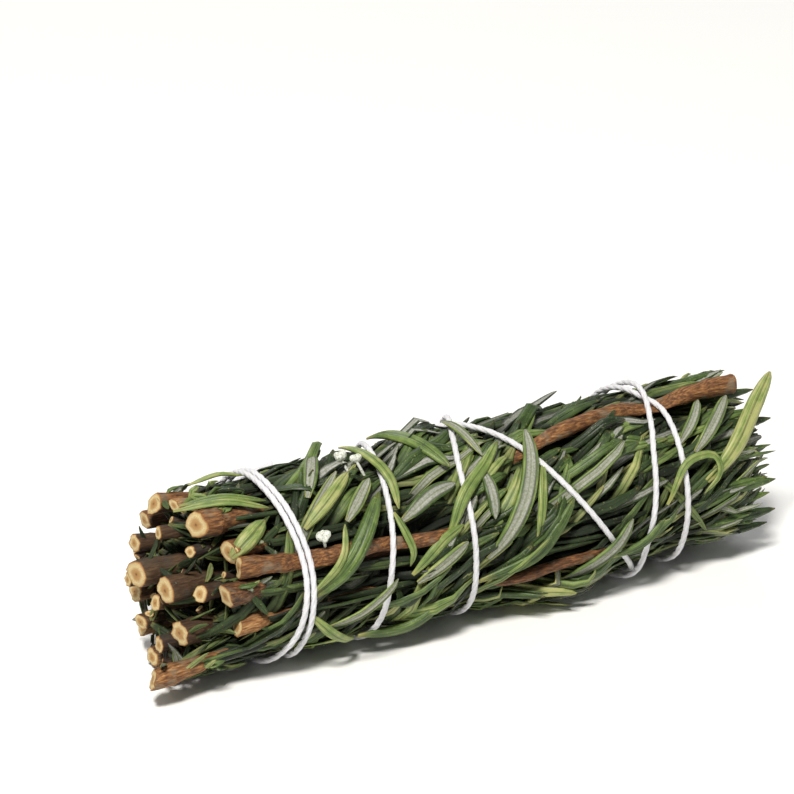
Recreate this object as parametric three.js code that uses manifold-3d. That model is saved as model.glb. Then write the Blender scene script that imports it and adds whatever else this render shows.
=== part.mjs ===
// Rosemary bundle: 24 cut and dried sprigs laid side by side and tied with one length of white cotton string.
// Millimetres. +X runs from the cut stem ends to the leaf tips, +Z is up, and the bundle lies on z = 0.
// The origin is under the middle of the bundle.
import * as THREE from 'three';
import * as BufferGeometryUtils from 'three/addons/utils/BufferGeometryUtils.js';
import Module from 'manifold-3d';

// The whole bundle.
const LENGTH = 128;
const BUNDLE_RADIUS = 17.8;
const AXIS_HEIGHT = 17.3; // less than the radius, so the underside is pressed flat where it lies
const TWIST = 18; // degrees that the sprigs climb up the front from the cut ends to the tips
const TIP_TAPER_START = 46;
const TIP_TAPER = 3.2;
const GAP = 0.3; // between pieces that touch
const MERGE_DISTANCE = 1e-4;
const ANGLE_MARGIN = 0.1; // degrees that each sprig's leaves are narrower again

// The sprigs lie in three rings. A ring's sprigs share the space between its inner and outer radius.
const RINGS = [
  { count: 3, inner: 0.3, middle: 3.2, outer: 6.0, firstAngle: 60, leafyRadius: 1.6 },
  { count: 8, inner: 6.3, middle: 8.75, outer: 11.2, firstAngle: 22.5, leafyRadius: 1.45 },
  { count: 13, inner: 11.5, middle: 13.4, outer: BUNDLE_RADIUS, firstAngle: 180, leafyRadius: 1.2 },
];

// Each sprig's cut end, ring by ring: [x, radius of the stem there]. The stems at the front are cut shorter.
const CUT_ENDS = [
  [-57.5, 2.4], [-58, 1.5], [-60, 2.6],
  [-53, 1.2], [-53.5, 1.5], [-57.4, 2.4], [-58.5, 1.5],
  [-59, 1.6], [-59, 1.3], [-58, 1.7], [-56, 1.4],
  [-58, 1.9], [-57, 1.6], [-56, 2.0], [-55, 1.5], [-54, 1.8], [-54, 2.0], [-53, 1.3],
  [-52, 2.6], [-48.2, 2.2], [-50.9, 2.2], [-48.5, 2.0], [-LENGTH / 2, 2.2], [-58.5, 1.7],
];

// Stems.
const STEM_SIDES = 7;
const FLARE_START = -40; // left of the tie the bare stems splay outwards
const FLARE = 0.11; // radius gained for each millimetre of length
const STEM_TIP = 44;
const STEM_TIP_STAGGER = 10;
const STEM_TIP_THICKNESS = 0.5; // of the thickness where the leaves begin
const THINNEST = 0.8; // the thinnest leafy stem, as a part of the thickest in its ring
const BARE_END = 2; // the bare stem ends this far before the leaves
const SWAY = 0.9; // how far a stem weaves to each side of its straight run
const SWAY_LENGTH = 17; // along the bundle for one radian of that weave
const SWAY_STEP = 2.4; // radians between one sprig's weave and the next one's

// Leaf sleeves: the outer shape of one sprig's needle leaves, notched where the whorls of leaves stand out.
const BARE_LENGTH = 6; // of stem before the first leaves
const BARE_LENGTH_STAGGER = 3;
const LEAF_TIP_STAGGER = 7;
const SLEEVE_SIDES = 8;
const WHORL_PITCH = 4;
const INNER_STATION_PITCH = 12;
const PATH_PITCH = 16;
const SHORTEST_PIECE = 0.5; // of a centre line
const NOTCH = 0.2; // of the depth of leaf over the stem
const FIRST_LEAVES = 1; // from the sleeve's start to its first station
const LAST_LEAVES = 2; // from its last station to its tip

// A sleeve's outline goes from 0, on the stem's centre line, through the wall of its hole to the outside.
const WALL = 1;
const SLEEVE_END = 1.6; // where the sleeve closes at its ends
const OUTSIDE = 2;

// Steps of the golden ratio spread the sprigs' sizes evenly. Each size has its own step from sprig to sprig.
const GOLDEN_RATIO = 0.618034;
const SHUFFLE = { thickness: 3, stemTip: 7, leafStart: 2, leafEnd: 4 };

// String.
const STRING_DIAMETER = 1.2;
const STRING_RADIUS = 17.2; // of its centre line round the bundle's axis
const STRING_SIDES = 8;
const STRING_STEP = 3.4;
const STRING_SAMPLES = 900; // along the route, to find the nearest string
const STRING_DIVISIONS = 2000; // along the route, to space its steps evenly
const FLOOR_CLEARANCE = 0.02;
const LEAF_CLEARANCE = 0.45; // under the string
const PINCH_WIDTH = 3.2; // how far along the bundle the leaves rise again beside the string

// The knot is a rounded lump with two cut tails, on the upper back.
const KNOT = { angle: 300, x: -37, length: 4.4, width: 3.4, height: 2.6, lift: 0.5, sides: 10 };
const TAIL = { length: 10, lift: 0.7, rise: 0.9, arch: 0.4, fan: 8, stations: [0, 0.4, 0.7, 1] };
const TAIL_STEPS = 5;

// The string's route, turn by turn: [degrees from the top, down the front], [x], [lift where it crosses
// itself]. It starts at the knot and comes back to it.
const WINDING = [
  // Once round the cut end, then a long climb up the back.
  [[-60, -36.4, 0.5], [-28, -36.4, 0], [6, -36.5, 0], [36, -35.6, 0], [70, -34.7, 0], [105, -35.1, 0],
    [135, -35.8, 0], [165, -34.6, 0], [215, -25.4, 0], [262, -17.2, 0]],
  // Over the top and slantwise down the front to the leafy end.
  [[-60, -7.4, 0], [-28, 4, 0], [0, 8.2, 0], [51, 17.3, 0], [98, 27.1, 0], [137, 35, 0], [165, 37.6, 0],
    [220, 39.2, 0]],
  // Outer turn at the leafy end.
  [[-60, 40.6, 0], [-28, 41, 0], [3, 42.2, 0], [24, 44.2, 0], [63, 43.8, 0], [109, 44, 0], [150, 45, 0],
    [220, 44.4, 0]],
  // Inner turn at the leafy end, over the last turn and over the slant, then back along behind.
  [[-60, 43, 0], [-28, 42.8, 0.2], [3, 42.5, 1.4], [31, 40.3, 0], [56, 37.9, 0], [105, 35.7, 0.2],
    [137, 35, 1.4], [170, 32.6, 0.2], [240, 20.5, 0]],
  // Third turn, over the slant on top.
  [[-54, 8.4, 0.1], [-22, 5.4, 1.4], [6, 1.8, 0.1], [40, -1.3, 0], [88, -1.8, 0], [131, -1, 0],
    [180, -1.2, 0], [246, -6, 0], [275, -7.6, 0.2]],
  // Second turn, over the climb behind in two places.
  [[-64, -8.9, 1.4], [-42, -10.9, 0.1], [-13, -13.3, 0], [29, -16.1, 0], [66, -18.1, 0], [90, -19.4, 0],
    [122, -20.4, 0], [148, -21.2, 0], [186, -21.9, 0.1], [218, -24.8, 1.4], [245, -28, 0.1]],
  // Last turn beside the first, and into the knot.
  [[-62, -37.4, 0], [-28, -37.8, 0], [6, -37.8, 0], [36, -36.9, 0], [70, -36, 0], [96, -36.5, 0],
    [118, -37.8, 0], [135, -39.4, 0], [165, -40.6, 0], [225, -40, 0], [264, -38.8, 0.2], [298, -37.6, 0.5]],
];

const LEAF_GREEN = new THREE.MeshStandardMaterial({ color: 0x4f6b2c, roughness: 0.6, metalness: 0 });
const STEM_BROWN = new THREE.MeshStandardMaterial({ color: 0x9a6238, roughness: 0.75, metalness: 0 });
const STRING_WHITE = new THREE.MeshStandardMaterial({ color: 0xe6e6ea, roughness: 0.85, metalness: 0 });

const group = new THREE.Group();
const radians = THREE.MathUtils.degToRad;

// A point of the bundle from its place along X, its distance from the axis and its degrees from the top.
function place(x, radius, angle) {
  const y = -radius * Math.sin(radians(angle));
  const z = AXIS_HEIGHT + radius * Math.cos(radians(angle));
  return new THREE.Vector3(x, y, z);
}

function spread(number) {
  return (number * GOLDEN_RATIO) % 1;
}

// ---- string route ----

// Distance of the string's centre line from the axis: it lies on the floor under the bundle.
function stringRadius(angle, lift) {
  const down = -Math.cos(radians(angle));
  if (down <= 0) {
    return STRING_RADIUS + lift;
  }
  const lowest = AXIS_HEIGHT - STRING_DIAMETER / 2 - FLOOR_CLEARANCE;
  return Math.min(STRING_RADIUS + lift, lowest / down);
}

class StringRoute extends THREE.Curve {
  constructor() {
    super();
    const unrolled = [];
    WINDING.forEach((turn, index) => {
      for (const [angle, x, lift] of turn) {
        unrolled.push(new THREE.Vector3(angle + 360 * index, x, lift));
      }
    });
    this.unrolled = new THREE.CatmullRomCurve3(unrolled, false, 'catmullrom', 0.5);
    this.arcLengthDivisions = STRING_DIVISIONS;
  }

  getUnrolled(t) {
    return this.unrolled.getPoint(t);
  }

  getPoint(t) {
    const { x: angle, y: x, z: lift } = this.getUnrolled(t);
    return place(x, stringRadius(angle, Math.max(lift, 0)), angle);
  }
}

const stringRoute = new StringRoute();
const stringSamples = [];
for (let step = 0; step <= STRING_SAMPLES; step += 1) {
  stringSamples.push(stringRoute.getUnrolled(step / STRING_SAMPLES));
}

// How far a place on the bundle's surface is from the nearest string, measured over the surface.
function distanceToString(x, angle) {
  let nearest = Infinity;
  for (const sample of stringSamples) {
    const turns = (sample.x - angle) / 360;
    const around = radians(360 * (turns - Math.round(turns))) * BUNDLE_RADIUS;
    nearest = Math.min(nearest, Math.hypot(around, sample.y - x));
  }
  return nearest;
}

// ---- sprigs ----

// The leaves' outer surface: it tapers at the tips, and the string pulls it in.
function leafSurface(x, angle) {
  const taper = Math.max(0, x - TIP_TAPER_START) / (LENGTH / 2 - TIP_TAPER_START);
  const open = BUNDLE_RADIUS - TIP_TAPER * taper ** 2;
  const under = stringRadius(angle, 0) - STRING_DIAMETER / 2 - LEAF_CLEARANCE;
  const beside = Math.max(0, distanceToString(x, angle) - WHORL_PITCH / 2);
  const pinch = Math.exp(-((beside / PINCH_WIDTH) ** 2));
  return THREE.MathUtils.lerp(open, Math.min(open, under), pinch);
}

function makeSprig(ring, number, index) {
  const [cutEnd, cutRadius] = CUT_ENDS[index];
  return {
    ring,
    middleAngle: ring.firstAngle + (360 * number) / ring.count,
    halfAngle: 180 / ring.count - THREE.MathUtils.radToDeg(GAP / 2 / ring.middle) - ANGLE_MARGIN,
    cutEnd,
    cutRadius,
    leafyRadius: ring.leafyRadius * THREE.MathUtils.lerp(THINNEST, 1, spread(index * SHUFFLE.thickness)),
    stemTip: STEM_TIP + STEM_TIP_STAGGER * (spread(index * SHUFFLE.stemTip) - 0.5),
    leafStart: cutEnd + BARE_LENGTH + BARE_LENGTH_STAGGER * spread(index * SHUFFLE.leafStart),
    leafEnd: LENGTH / 2 - LEAF_TIP_STAGGER * spread(index * SHUFFLE.leafEnd),
    sway: SWAY * Math.sin(index * SWAY_STEP),
  };
}

function twistedAngle(sprig, x) {
  return sprig.middleAngle - (TWIST * x) / LENGTH;
}

// One point of the stem's centre line, with the directions away from the bundle's axis and round it.
function stemSection(sprig, x) {
  const swayAngle = THREE.MathUtils.radToDeg(sprig.sway / sprig.ring.middle) * Math.sin(x / SWAY_LENGTH);
  const angle = twistedAngle(sprig, x) + swayAngle;
  const flare = x < FLARE_START ? 1 + (FLARE * (FLARE_START - x)) / RINGS[2].middle : 1;
  return {
    centre: place(x, sprig.ring.middle * flare, angle),
    outward: place(x, 1, angle).sub(place(x, 0, angle)),
    round: place(x, 1, angle + 90).sub(place(x, 0, angle)),
  };
}

// The centre line is straight between stations PATH_PITCH apart, so a stem and the hole for it bend alike.
function stemFrame(sprig, x) {
  const first = Math.floor(x / PATH_PITCH) * PATH_PITCH;
  const part = (x - first) / PATH_PITCH;
  const a = stemSection(sprig, first);
  const b = stemSection(sprig, first + PATH_PITCH);
  return {
    centre: a.centre.lerp(b.centre, part),
    outward: a.outward.lerp(b.outward, part),
    round: a.round.lerp(b.round, part),
  };
}

function stemRadius(sprig, x) {
  const bareEnd = sprig.leafStart - BARE_END;
  if (x < bareEnd) {
    const bare = (x - sprig.cutEnd) / (bareEnd - sprig.cutEnd);
    return THREE.MathUtils.lerp(sprig.cutRadius, sprig.leafyRadius, bare);
  }
  const leafy = Math.min(1, (x - bareEnd) / (sprig.stemTip - bareEnd));
  return sprig.leafyRadius * THREE.MathUtils.lerp(1, STEM_TIP_THICKNESS, leafy);
}

function onStem(sprig, x, radius, around) {
  const { centre, outward, round } = stemFrame(sprig, x);
  return centre
    .addScaledVector(outward, radius * Math.cos(around))
    .addScaledVector(round, radius * Math.sin(around));
}

// A point of the sprig's leafy outside, around its own middle. It fills the space between neighbours, with
// broad shoulders on the bundle's surface, and lies flat where it is pressed on the floor.
function onLeaves(sprig, x, around) {
  const { ring, halfAngle } = sprig;
  const outward = Math.cos(around);
  const sideways = Math.sin(around);
  const corner = (outward ** 4 + sideways ** 4) ** -0.25;
  const angle = twistedAngle(sprig, x) + corner * sideways * halfAngle;
  const surface = ring.outer === BUNDLE_RADIUS ? leafSurface(x, angle) : ring.outer;
  const out = Math.min(1, Math.SQRT2 * outward) * (surface - ring.middle);
  const into = corner * outward * (ring.middle - ring.inner);
  const point = place(x, ring.middle + (outward > 0 ? out : into), angle);
  point.z = Math.max(point.z, 0);
  return point;
}

// Moves every vertex of a shape turned about the Y axis to where it belongs on a sprig, and merges them.
function wrapOnSprig(geometry, toPoint) {
  const position = geometry.getAttribute('position');
  for (let vertex = 0; vertex < position.count; vertex += 1) {
    const sideways = position.getX(vertex);
    const outward = position.getZ(vertex);
    const around = Math.atan2(sideways, outward);
    const point = toPoint(position.getY(vertex), Math.hypot(sideways, outward), around);
    position.setXYZ(vertex, point.x, point.y, point.z);
  }
  return facingOut(geometry);
}

// Merges the shape's vertices, and turns it the right way out if its signed volume is negative.
function facingOut(geometry) {
  geometry.deleteAttribute('normal');
  geometry.deleteAttribute('uv');
  const merged = BufferGeometryUtils.mergeVertices(geometry, MERGE_DISTANCE);
  const position = merged.getAttribute('position');
  const index = merged.getIndex();
  const corners = [new THREE.Vector3(), new THREE.Vector3(), new THREE.Vector3()];
  const kept = [];
  let volume = 0;
  for (let first = 0; first < index.count; first += 3) {
    const face = [index.getX(first), index.getX(first + 1), index.getX(first + 2)];
    if (face[0] !== face[1] && face[1] !== face[2] && face[2] !== face[0]) {
      corners.forEach((corner, which) => corner.fromBufferAttribute(position, face[which]));
      volume += corners[0].dot(corners[1].clone().cross(corners[2]));
      kept.push(...face);
    }
  }
  if (volume < 0) {
    kept.reverse();
  }
  merged.setIndex(kept);
  merged.computeVertexNormals();
  return merged;
}

function addMesh(name, geometry, material) {
  const mesh = new THREE.Mesh(geometry, material.clone());
  mesh.name = name;
  group.add(mesh);
}

// The stations of the centre line's straight pieces between two places, from the tip back to the cut end.
function stationsBetween(high, low) {
  const stations = [];
  const last = Math.ceil(high / PATH_PITCH - 1) * PATH_PITCH;
  for (let x = last; x > low + SHORTEST_PIECE; x -= PATH_PITCH) {
    if (x < high - SHORTEST_PIECE) {
      stations.push(x);
    }
  }
  return stations;
}

function makeStem(sprig) {
  const { stemTip, cutEnd, leafStart } = sprig;
  const bareEnd = leafStart - BARE_END;
  const leafy = stationsBetween(stemTip, bareEnd);
  const bare = stationsBetween(bareEnd, cutEnd);
  const outline = [new THREE.Vector2(0, stemTip)];
  for (const x of [stemTip, ...leafy, bareEnd, ...bare, cutEnd]) {
    outline.push(new THREE.Vector2(1, x));
  }
  outline.push(new THREE.Vector2(0, cutEnd));
  const geometry = new THREE.LatheGeometry(outline, STEM_SIDES);
  return wrapOnSprig(geometry, (x, part, around) => onStem(sprig, x, part * stemRadius(sprig, x), around));
}

function makeLeaves(sprig) {
  const { leafStart, leafEnd } = sprig;
  const outermost = sprig.ring.outer === BUNDLE_RADIUS;
  const pitch = outermost ? WHORL_PITCH : INNER_STATION_PITCH;
  const holeEnd = sprig.stemTip + GAP;
  const outline = [new THREE.Vector2(0, holeEnd)];
  for (const x of [holeEnd, ...stationsBetween(holeEnd, leafStart), leafStart]) {
    outline.push(new THREE.Vector2(WALL, x));
  }
  outline.push(new THREE.Vector2(SLEEVE_END, leafStart));
  const first = Math.ceil((leafStart + FIRST_LEAVES) / pitch);
  const last = Math.floor((leafEnd - LAST_LEAVES) / pitch);
  for (let station = first; station <= last; station += 1) {
    const notched = station % 2 === 0 ? OUTSIDE - NOTCH : OUTSIDE;
    outline.push(new THREE.Vector2(station === last ? SLEEVE_END : notched, station * pitch));
  }
  outline.push(new THREE.Vector2(0, leafEnd));
  const holeFit = Math.cos(Math.PI / SLEEVE_SIDES);
  const geometry = new THREE.LatheGeometry(outline, SLEEVE_SIDES);
  return wrapOnSprig(geometry, (x, part, around) => {
    const hole = (stemRadius(sprig, x) + GAP) / holeFit;
    const wall = onStem(sprig, x, Math.min(part, WALL) * hole, around);
    if (part <= WALL) {
      return wall;
    }
    const outside = onLeaves(sprig, x, around);
    const pressedFlat = outside.z === 0 && part > SLEEVE_END;
    return wall.lerp(outside, pressedFlat ? 1 : part - WALL);
  });
}

let sprigIndex = 0;
for (const ring of RINGS) {
  for (let number = 0; number < ring.count; number += 1) {
    const sprig = makeSprig(ring, number, sprigIndex);
    sprigIndex += 1;
    const label = String(sprigIndex).padStart(2, '0');
    addMesh(`stem_${label}`, makeStem(sprig), STEM_BROWN);
    addMesh(`leaves_${label}`, makeLeaves(sprig), LEAF_GREEN);
  }
}

// ---- string and its knot ----

function circle(diameter, sides) {
  const shape = new THREE.Shape();
  for (let side = 0; side < sides; side += 1) {
    const around = (2 * Math.PI * side) / sides;
    const x = (diameter / 2) * Math.cos(around);
    const y = (diameter / 2) * Math.sin(around);
    if (side === 0) {
      shape.moveTo(x, y);
    } else {
      shape.lineTo(x, y);
    }
  }
  shape.closePath();
  return shape;
}

function tube(path, steps) {
  const section = circle(STRING_DIAMETER, STRING_SIDES);
  const geometry = new THREE.ExtrudeGeometry(section, { steps, bevelEnabled: false, extrudePath: path });
  return facingOut(geometry);
}

const wasm = await Module();
wasm.setup();

function toSolid(geometry) {
  const vertProperties = new Float32Array(geometry.getAttribute('position').array);
  const triVerts = new Uint32Array(geometry.getIndex().array);
  return new wasm.Manifold(new wasm.Mesh({ numProp: 3, vertProperties, triVerts }));
}

function fromSolid(solid) {
  const { numProp, vertProperties, triVerts } = solid.getMesh();
  const geometry = new THREE.BufferGeometry();
  geometry.setAttribute('position', new THREE.InterleavedBufferAttribute(
    new THREE.InterleavedBuffer(vertProperties, numProp), 3, 0));
  geometry.setIndex(new THREE.BufferAttribute(triVerts, 1));
  return geometry;
}

function makeTail(side) {
  const points = TAIL.stations.map((part) => {
    const lift = TAIL.lift + TAIL.rise * part + TAIL.arch * Math.sin(Math.PI * part);
    const angle = KNOT.angle + side * TAIL.fan * part ** 2;
    return place(KNOT.x + side * TAIL.length * part, STRING_RADIUS + lift, angle);
  });
  return tube(new THREE.CatmullRomCurve3(points), TAIL_STEPS);
}

function makeKnot() {
  const lump = new THREE.SphereGeometry(0.5, KNOT.sides, KNOT.sides / 2);
  lump.scale(KNOT.length, KNOT.width, KNOT.height);
  const centre = place(KNOT.x, STRING_RADIUS + KNOT.lift, KNOT.angle);
  lump.translate(centre.x, centre.y, centre.z);
  return [facingOut(lump), makeTail(-1), makeTail(1)];
}

let stringSolid = toSolid(tube(stringRoute, Math.round(stringRoute.getLength() / STRING_STEP)));
for (const piece of makeKnot()) {
  stringSolid = stringSolid.add(toSolid(piece));
}
addMesh('string', fromSolid(stringSolid), STRING_WHITE);

export default group;
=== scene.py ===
"""Rosemary bundle: cut, dried sprigs laid side by side and wound with white cotton string.

Lengths are in millimetres while a piece is worked out, and its finished mesh is in metres. +X runs from
the cut stem ends to the leaf tips. A place on the bundle is given by x, by its distance from the bundle's
axis, and by its angle from the top, in radians, down the front.
"""

import math

import bpy
import numpy as np
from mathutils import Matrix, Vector


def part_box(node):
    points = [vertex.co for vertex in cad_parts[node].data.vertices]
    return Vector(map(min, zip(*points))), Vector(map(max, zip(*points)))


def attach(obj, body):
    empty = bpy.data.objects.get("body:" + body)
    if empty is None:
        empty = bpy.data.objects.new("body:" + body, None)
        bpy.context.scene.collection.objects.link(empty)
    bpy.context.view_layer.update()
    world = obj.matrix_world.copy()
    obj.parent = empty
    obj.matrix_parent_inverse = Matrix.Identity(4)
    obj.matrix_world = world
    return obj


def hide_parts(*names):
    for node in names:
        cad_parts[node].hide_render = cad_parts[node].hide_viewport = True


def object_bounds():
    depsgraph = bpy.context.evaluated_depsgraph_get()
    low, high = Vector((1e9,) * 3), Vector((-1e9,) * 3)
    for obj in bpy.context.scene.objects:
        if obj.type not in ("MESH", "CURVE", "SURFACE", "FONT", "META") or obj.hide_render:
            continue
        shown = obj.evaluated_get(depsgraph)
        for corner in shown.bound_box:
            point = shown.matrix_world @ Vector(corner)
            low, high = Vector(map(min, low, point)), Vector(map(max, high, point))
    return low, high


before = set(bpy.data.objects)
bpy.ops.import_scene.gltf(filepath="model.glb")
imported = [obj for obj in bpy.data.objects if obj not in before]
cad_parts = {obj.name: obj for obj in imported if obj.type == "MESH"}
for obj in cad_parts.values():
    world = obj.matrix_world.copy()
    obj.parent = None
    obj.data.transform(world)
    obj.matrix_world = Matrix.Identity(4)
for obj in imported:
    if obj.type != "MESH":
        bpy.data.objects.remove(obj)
cad_low, cad_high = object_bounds()

MM = 0.001
SEED = 7
HALF_LENGTH = (cad_high.x - cad_low.x) / 2 / MM
BUNDLE_RADIUS = 17.8
AXIS_HEIGHT = 17.3
SURFACE_SPAN = 2 * math.pi * BUNDLE_RADIUS
ALONG = np.array([1.0, 0.0, 0.0])

rng = np.random.default_rng(SEED)

# ---------- Camera, floor and light ----------

CAMERA_AZIMUTH = -29.0
CAMERA_ELEVATION = 26.5
CAMERA_DISTANCE = 0.620
CAMERA_LENS = 151.0
CAMERA_SENSOR = 36.0
AIM_LEFT = 0.0080
AIM_UP = 0.0230
CLEAR_DISTANCE = (0.01, 20)

# Area lights, aimed at the origin: name, place and size in metres, power in watts, and colour.
LIGHTS = [
    ("key_light", (-0.50, -0.55, 1.15), 0.24, 23.0, (1.0, 0.97, 0.92)),
    ("fill_light", (1.1, -0.9, 0.7), 1.2, 0.9, (0.92, 0.96, 1.0)),
    ("end_light", (1.5, 0.2, 0.45), 0.8, 2.6, (1.0, 1.0, 1.0)),
    ("back_light", (0.3, 1.2, 0.9), 0.8, 7.0, (1.0, 1.0, 1.0)),
]
SKY_STRENGTH = 0.13
FLOOR_REACH = 6.0
FLOOR_COLOUR = (0.93, 0.93, 0.92, 1)
FLOOR_ROUGHNESS = 0.9

def add_object(name, data):
    made = bpy.data.objects.new(name, data)
    bpy.context.scene.collection.objects.link(made)
    return made

def aim_from(thing, place, target):
    """Puts a camera or a light at a place and turns it towards the target."""
    thing.location = place
    thing.rotation_mode = "QUATERNION"
    thing.rotation_quaternion = (target - Vector(place)).to_track_quat("-Z", "Y")

def make_camera():
    turn = math.radians(CAMERA_AZIMUTH)
    rise = math.radians(CAMERA_ELEVATION)
    back = Vector((math.sin(turn) * math.cos(rise), -math.cos(turn) * math.cos(rise), math.sin(rise)))
    right = Vector((math.cos(turn), math.sin(turn), 0))
    up = back.cross(right)
    middle = Vector((0, 0, AXIS_HEIGHT * MM))
    data = bpy.data.cameras.new("camera")
    data.lens = CAMERA_LENS
    data.sensor_width = CAMERA_SENSOR
    data.clip_start, data.clip_end = CLEAR_DISTANCE
    camera = add_object("camera", data)
    aim_from(camera, middle + back * CAMERA_DISTANCE, middle - right * AIM_LEFT + up * AIM_UP)
    bpy.context.scene.camera = camera

def make_area_light(name, place, size, power, colour):
    data = bpy.data.lights.new(name, "AREA")
    data.size = size
    data.energy = power
    data.color = colour
    aim_from(add_object(name, data), place, Vector((0, 0, 0)))

def make_sky():
    world = bpy.data.worlds.new("studio")
    world.use_nodes = True
    sky = world.node_tree.nodes["Background"]
    sky.inputs["Color"].default_value = (1, 1, 1, 1)
    sky.inputs["Strength"].default_value = SKY_STRENGTH
    bpy.context.scene.world = world
    bpy.context.scene.view_settings.view_transform = "Standard"

def make_floor():
    mesh = bpy.data.meshes.new("floor")
    signs = [(-1, -1), (1, -1), (1, 1), (-1, 1)]
    mesh.from_pydata([(x * FLOOR_REACH, y * FLOOR_REACH, 0) for x, y in signs], [], [(0, 1, 2, 3)])
    paper, _, shader = start_material("floor_paper")
    shader.inputs["Base Color"].default_value = FLOOR_COLOUR
    shader.inputs["Roughness"].default_value = FLOOR_ROUGHNESS
    mesh.materials.append(paper)
    add_object("floor", mesh)

# ---------- Node graphs ----------

def maths_methods(operation):
    """An operator's two methods: for a wire before the operator, and for a wire after it."""
    return (lambda wire, other: wire.graph.maths(operation, wire, other),
            lambda wire, other: wire.graph.maths(operation, other, wire))

class Wire:
    """A node's output in an expression. Each operator adds the Math node that works it out."""

    __add__, __radd__ = maths_methods("ADD")
    __sub__, __rsub__ = maths_methods("SUBTRACT")
    __mul__, __rmul__ = maths_methods("MULTIPLY")

    def __init__(self, graph, socket):
        self.graph = graph
        self.socket = socket

    def out(self, name):
        return Wire(self.graph, self.socket.node.outputs[name])

class Graph:
    """A shader or geometry node tree that is written as expressions."""

    def __init__(self, tree):
        self.tree = tree

    def node(self, kind, settings=None, values=None, output=0):
        made = self.tree.nodes.new(kind)
        for name, value in (settings or {}).items():
            if name == "stops":
                self.set_stops(made.color_ramp, value)
            else:
                setattr(made, name, value)
        for name, value in (values or {}).items():
            self.feed(made.inputs[name], value)
        return Wire(self, made.outputs[output])

    def feed(self, socket, value):
        if isinstance(value, Wire):
            self.tree.links.new(value.socket, socket)
        else:
            socket.default_value = value

    def set_stops(self, ramp, stops):
        while len(ramp.elements) < len(stops):
            ramp.elements.new(1.0)
        for element, (position, *shade) in zip(ramp.elements, stops):
            element.position = position
            element.color = colour(*shade)

    def maths(self, operation, first, second=0.0):
        return self.node("ShaderNodeMath", {"operation": operation}, {0: first, 1: second})

    def ramp(self, factor, stops):
        """A colour ramp from stops, each a position and then red, green and blue for colour."""
        return self.node("ShaderNodeValToRGB", {"stops": stops}, {"Fac": factor})

    def blend(self, factor, first, second):
        """The first colour where factor is 0, the second where it is 1."""
        settings = {"data_type": "RGBA", "clamp_factor": True}
        return self.node("ShaderNodeMix", settings, {0: factor, 6: first, 7: second}, output=2)

    def step(self, value, start, end):
        """0 where value is at start or beyond it, 1 at end, and smooth between."""
        settings = {"interpolation_type": "SMOOTHSTEP"}
        values = {"Value": value, "From Min": start, "From Max": end}
        return self.node("ShaderNodeMapRange", settings, values)

    def noise(self, vector, scale, detail=2.0, roughness=0.5):
        values = {"Vector": vector, "Scale": scale, "Detail": detail, "Roughness": roughness}
        return self.node("ShaderNodeTexNoise", None, values)

    def attribute(self, name):
        return self.node("ShaderNodeAttribute", {"attribute_name": name}, output="Fac")

def colour(red, green, blue):
    """A linear colour from its sRGB values between 0 and 255."""
    def linear(value):
        part = value / 255
        return part / 12.92 if part <= 0.04045 else ((part + 0.055) / 1.055) ** 2.4
    return (linear(red), linear(green), linear(blue), 1.0)

def start_material(name):
    """A new material, its graph, and its shader."""
    material = bpy.data.materials.new(name)
    material.use_nodes = True
    graph = Graph(material.node_tree)
    shader = material.node_tree.nodes["Principled BSDF"]
    return material, graph, shader

def finish_surface(graph, shader, colours, height, roughness, strength, depth):
    """Feeds the colours, the roughness, and a bump of the height, depth metres deep at most."""
    graph.feed(shader.inputs["Base Color"], colours)
    graph.feed(shader.inputs["Roughness"], roughness)
    bump = graph.node("ShaderNodeBump", None, {"Strength": strength, "Distance": depth, "Height": height})
    graph.feed(shader.inputs["Normal"], bump)

# Places along the bundle, in metres, between which the painted shade of its inside fades.
TIPS_FADE = (0.046, 0.060)
CUT_ENDS_FADE = (-0.050, -0.040)

def painted_inner_shade(graph, place, start, end, at_cut_ends=1.0):
    """1 deep inside the bundle, where colours are darkened as painted shade, and 0 at its surface and its
    tips.
    """
    parts = graph.node("ShaderNodeSeparateXYZ", None, {"Vector": place})
    across, rise = parts.out("Y"), parts.out("Z") - AXIS_HEIGHT * MM
    distance = graph.maths("SQRT", across * across + rise * rise)
    tips = graph.step(parts.out("X"), *TIPS_FADE)
    cut_ends = 1 - graph.step(parts.out("X"), *CUT_ENDS_FADE)
    inside = 1 - graph.step(distance, start * MM, end * MM)
    return inside * (1 - tips) * (1 - cut_ends * (1 - at_cut_ends))

# Bands of a leaf, each fading between two places: across it, from 0 at the midrib to 1 at the margin; along
# it, from 0 at its foot to 1 at its tip; and by the way that a face looks, from -1 below to 1 above.
GROOVE_BAND = (0.02, 0.22)
RIB_BAND = (0.03, 0.12)
MARGIN_AND_FOLD_SHADE_BAND = (0.4, 0.6)
FOOT_BAND = (0.0, 0.16)
TIP_BAND = (0.9, 1.0)
UNDERSIDE_BAND = (-0.55, -0.68)

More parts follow.
